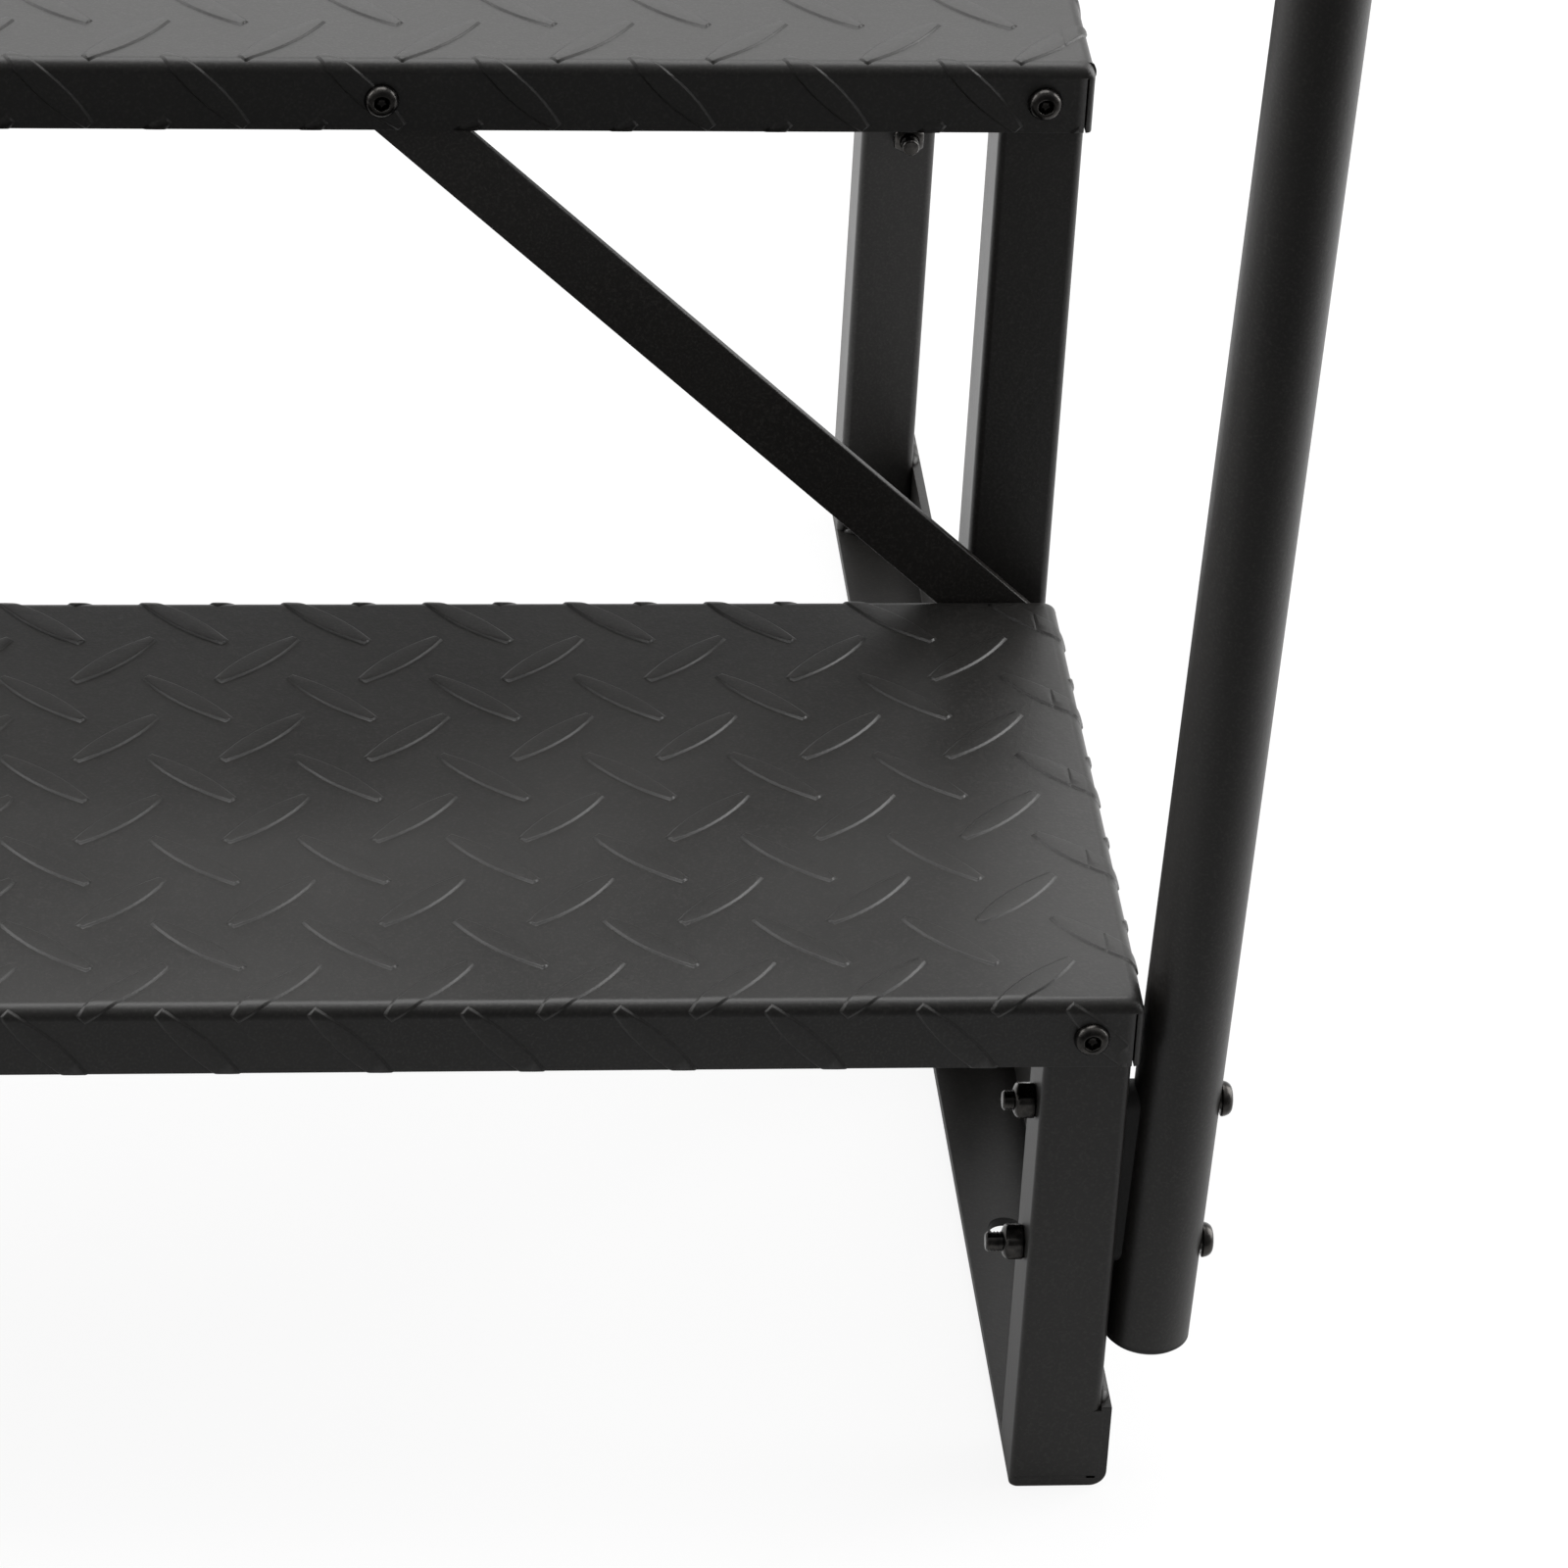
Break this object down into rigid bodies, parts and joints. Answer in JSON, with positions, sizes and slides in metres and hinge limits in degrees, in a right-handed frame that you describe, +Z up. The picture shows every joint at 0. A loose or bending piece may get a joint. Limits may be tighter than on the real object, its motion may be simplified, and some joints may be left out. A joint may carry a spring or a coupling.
{
  "type": "two-step stool with handrail",
  "caption": "Two-step stool with folded checker-plate treads on a square-tube frame with flat-bar braces, angle floor runners and a cane-shaped handrail on one side.",
  "frame": {"origin": "centre of the rectangle of four anchor holes in the floor runners, at floor level", "axes": "+X towards the handrail side, +Y from the lower step towards the upper step, +Z up"},
  "size_m": [0.6671, 0.5853, 0.9165],
  "materials": {
    "tread": "black fine-texture powder coat on checker plate",
    "frame": "black fine-texture powder coat",
    "fastener": "black oxide, satin",
    "grip": "moulded matt rubber",
    "plug": "moulded plastic"
  },
  "bodies": {
    "root": {"lower_tread": "tread", "upper_tread": "tread", "left_front_leg": "frame", "left_middle_leg": "frame", "left_rear_leg": "frame", "left_runner": "frame", "left_weld_beads": "frame", "left_front_brace": "frame", "left_rear_brace": "frame", "right_front_leg": "frame", "right_middle_leg": "frame", "right_rear_leg": "frame", "right_runner": "frame", "right_weld_beads": "frame", "right_front_brace": "frame", "right_rear_brace": "frame", "handrail_tube": "frame", "handrail_spacers": "fastener", "handrail_grip": "grip", "handrail_plug": "plug", "leg_screws": "fastener", "leg_nuts": "fastener", "brace_foot_screws": "fastener", "brace_foot_nuts": "fastener", "brace_top_screws": "fastener", "brace_top_nuts": "fastener", "handrail_bolts": "fastener", "handrail_nuts": "fastener"}
  },
  "joints": []
}
